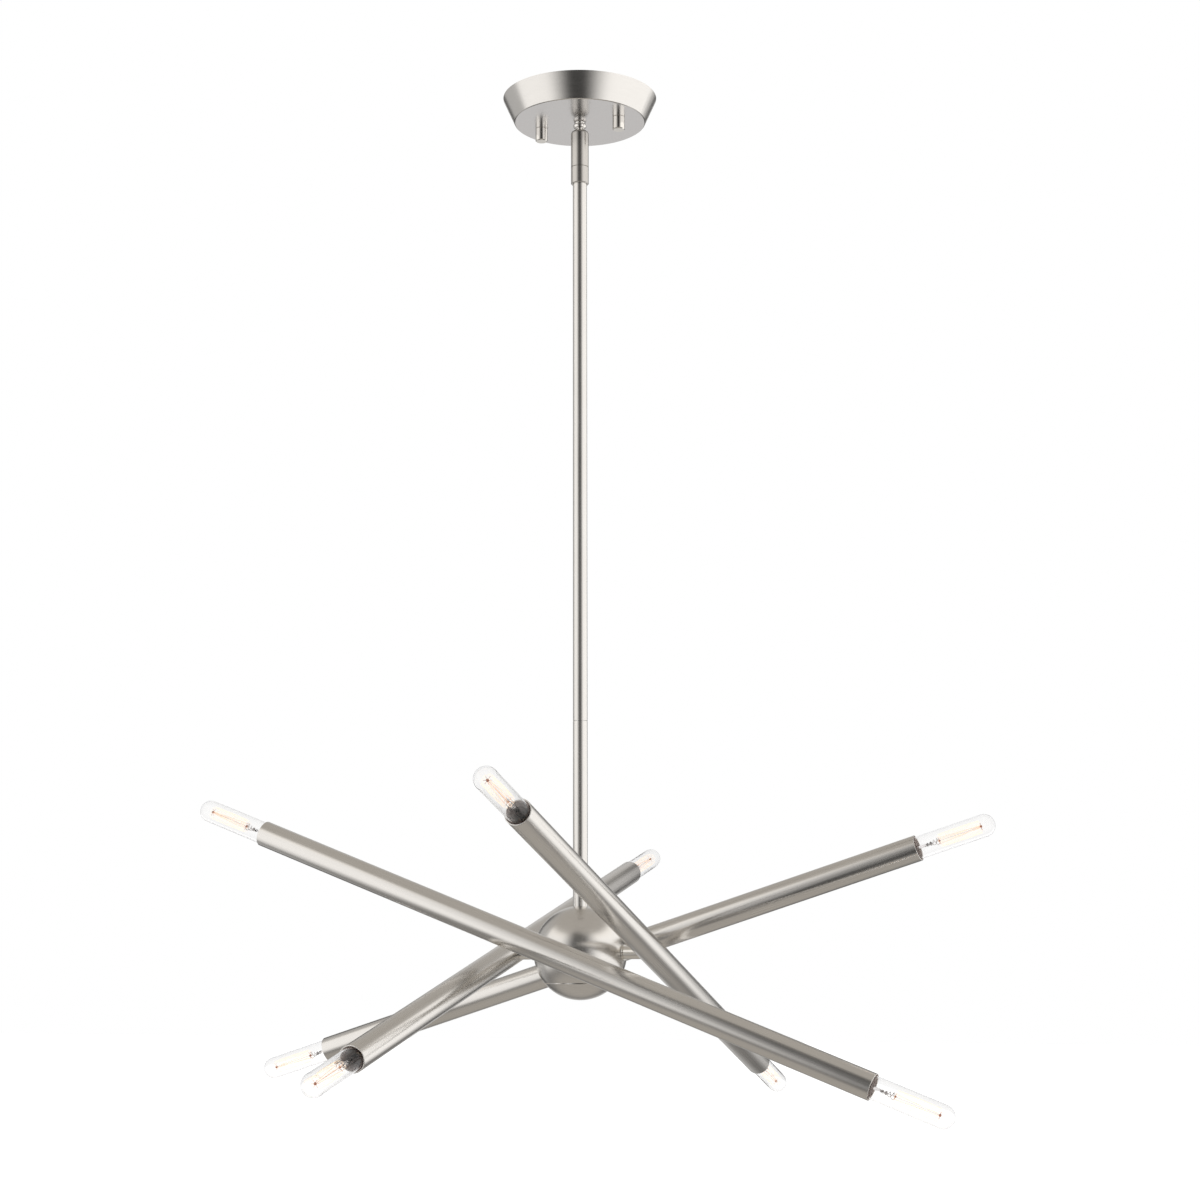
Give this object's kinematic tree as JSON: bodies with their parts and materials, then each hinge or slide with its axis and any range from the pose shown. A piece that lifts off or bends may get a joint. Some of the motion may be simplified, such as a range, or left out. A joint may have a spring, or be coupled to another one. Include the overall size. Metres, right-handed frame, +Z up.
{
  "type": "sputnik chandelier",
  "caption": "Ceiling chandelier of crossed metal tubes with a clear tubular bulb in each end, on posts round a ball hub hung from a canopy by a swivel and rods.",
  "frame": {"origin": "centre of the ceiling plane, in the middle of the mounting bracket's box slots", "axes": "+Z up into the ceiling, the object hangs to -Z; +X along the canopy studs and the right arm's post; -Y towards the front arm"},
  "size_m": [0.6944, 0.699, 0.9033],
  "materials": {
    "brushed_nickel": "brushed nickel plate on steel",
    "nickel_ball": "satin nickel plate on an aluminium casting",
    "bright_steel": "bright turned steel",
    "zinc_steel": "zinc plate",
    "brass": "turned brass",
    "ground_green": "green",
    "socket_moulding": "moulded phenolic",
    "bulb_base_metal": "plated screw base",
    "bulb_glass": "clear",
    "filament": "glass mount with pale warm strands"
  },
  "bodies": {
    "ceiling_mount": {"canopy": "brushed_nickel", "mounting_bracket": "zinc_steel", "canopy_studs": "zinc_steel", "stud_lock_nuts": "zinc_steel", "canopy_cap_nuts": "brushed_nickel", "ground_screw": "ground_green", "swivel_neck": "brushed_nickel", "swivel_ball_stud": "bright_steel", "canopy_lock_washer": "zinc_steel", "canopy_lock_nut": "zinc_steel"},
    "swivel": {"swivel_socket": "brushed_nickel", "swivel_seat_ring": "brass", "stem_stop_screw": "zinc_steel"},
    "stem": {"stem_coupling": "brushed_nickel", "stem_nipple": "brass", "upper_rod": "brushed_nickel", "rod_joiner": "brass", "lower_rod": "brushed_nickel", "hub_nipple": "brass", "hub_washer": "zinc_steel", "hub_nut": "zinc_steel", "hub_body": "nickel_ball", "hub_cap": "nickel_ball"},
    "front_arm": {"front_tube": "brushed_nickel", "front_post": "brushed_nickel", "front_post_nut": "zinc_steel", "front_lamp_sockets": "socket_moulding", "front_socket_shells": "brass", "front_bulb_bases": "bulb_base_metal", "front_bulb_glasses": "bulb_glass", "front_bulb_filaments": "filament"},
    "right_arm": {"right_tube": "brushed_nickel", "right_post": "brushed_nickel", "right_post_nut": "zinc_steel", "right_lamp_sockets": "socket_moulding", "right_socket_shells": "brass", "right_bulb_bases": "bulb_base_metal", "right_bulb_glasses": "bulb_glass", "right_bulb_filaments": "filament"},
    "back_arm": {"back_tube": "brushed_nickel", "back_post": "brushed_nickel", "back_post_nut": "zinc_steel", "back_lamp_sockets": "socket_moulding", "back_socket_shells": "brass", "back_bulb_bases": "bulb_base_metal", "back_bulb_glasses": "bulb_glass", "back_bulb_filaments": "filament"},
    "left_arm": {"left_tube": "brushed_nickel", "left_post": "brushed_nickel", "left_post_nut": "zinc_steel", "left_lamp_sockets": "socket_moulding", "left_socket_shells": "brass", "left_bulb_bases": "bulb_base_metal", "left_bulb_glasses": "bulb_glass", "left_bulb_filaments": "filament"}
  },
  "joints": [
    {"name": "swivel_tilt", "type": "hinge", "parent": "ceiling_mount", "child": "swivel", "pos_m": [0, 0, -0.037], "axis": [1, 0, 0], "range_deg": [-15, 15]},
    {"name": "stem_turn", "type": "hinge", "parent": "swivel", "child": "stem", "pos_m": [0, 0, -0.05], "axis": [0, 0, 1], "range_deg": [-162, 162]},
    {"name": "front_arm_turn", "type": "hinge", "parent": "stem", "child": "front_arm", "pos_m": [0, 0, -0.7678], "axis": [0, -1, 0], "range_deg": [-39.1, 8.9]},
    {"name": "right_arm_turn", "type": "hinge", "parent": "stem", "child": "right_arm", "pos_m": [0, 0, -0.7678], "axis": [1, 0, 0], "range_deg": [-39.8, 8.2]},
    {"name": "back_arm_turn", "type": "hinge", "parent": "stem", "child": "back_arm", "pos_m": [0, 0, -0.7678], "axis": [0, 1, 0], "range_deg": [-42.9, 5.1]},
    {"name": "left_arm_turn", "type": "hinge", "parent": "stem", "child": "left_arm", "pos_m": [0, 0, -0.7678], "axis": [-1, 0, 0], "range_deg": [-44.2, 3.8]}
  ]
}
